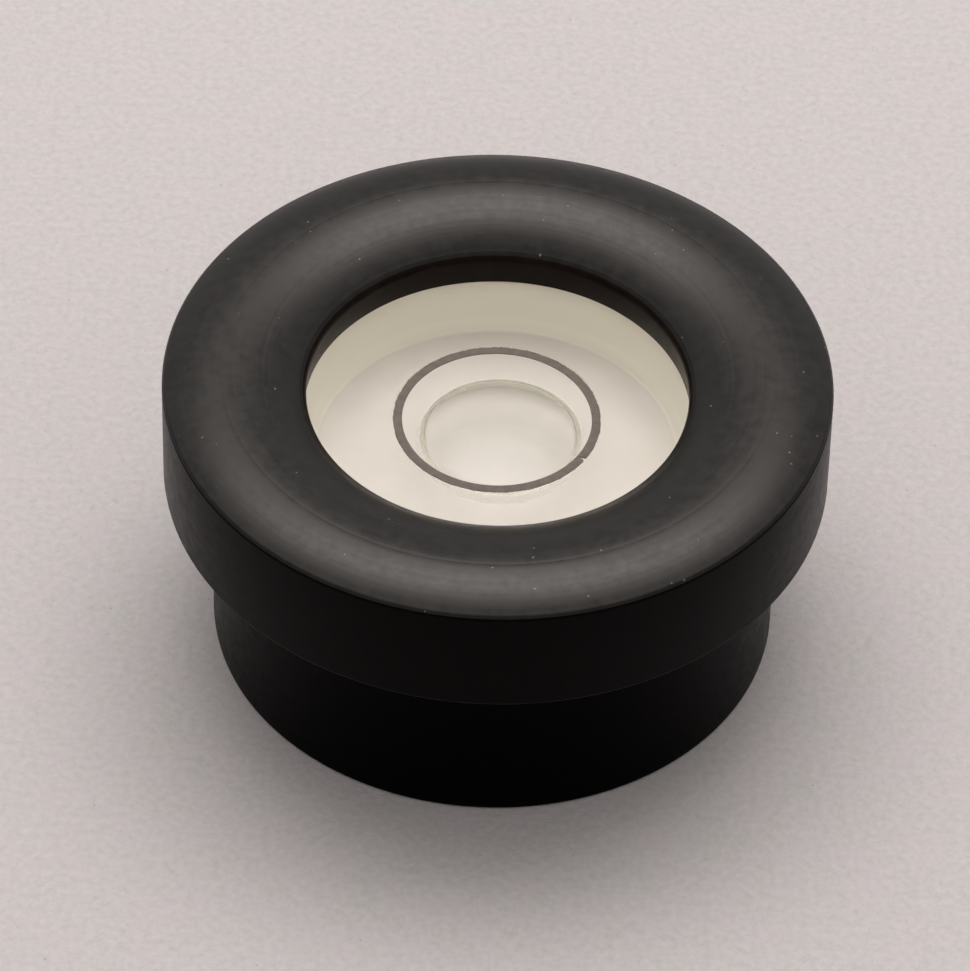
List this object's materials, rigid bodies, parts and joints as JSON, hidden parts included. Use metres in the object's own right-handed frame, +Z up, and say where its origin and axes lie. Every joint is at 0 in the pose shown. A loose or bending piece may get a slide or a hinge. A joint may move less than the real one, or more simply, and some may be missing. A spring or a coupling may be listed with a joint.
{
  "type": "bullseye level",
  "caption": "Round spirit level with a bubble and target ring under a flat window, in a turned black housing with a rolled rim, a flange and a plain spigot.",
  "frame": {"origin": "middle of the base, on the turning axis", "axes": "+Z up along the turning axis, from the base to the window; the two spanner holes of the base plug lie along X"},
  "size_m": [0.03, 0.03, 0.0152],
  "materials": {
    "anodised_black": "black anodised, satin, with fine turning marks",
    "window_clear": "clear acrylic, polished",
    "ring_paint": "grey-brown paint in an engraved line",
    "cup_ivory": "ivory moulded plastic, satin",
    "spirit_clear": "clear spirit with a faint yellow-green cast",
    "rubber_black": "matt black sheet rubber",
    "plug_black": "black anodised, satin"
  },
  "bodies": {
    "root": {"housing": "anodised_black", "vial_window": "window_clear", "target_ring": "ring_paint", "vial_cup": "cup_ivory", "spirit_fill": "spirit_clear", "cushion_washer": "rubber_black", "base_plug": "plug_black"}
  },
  "joints": []
}
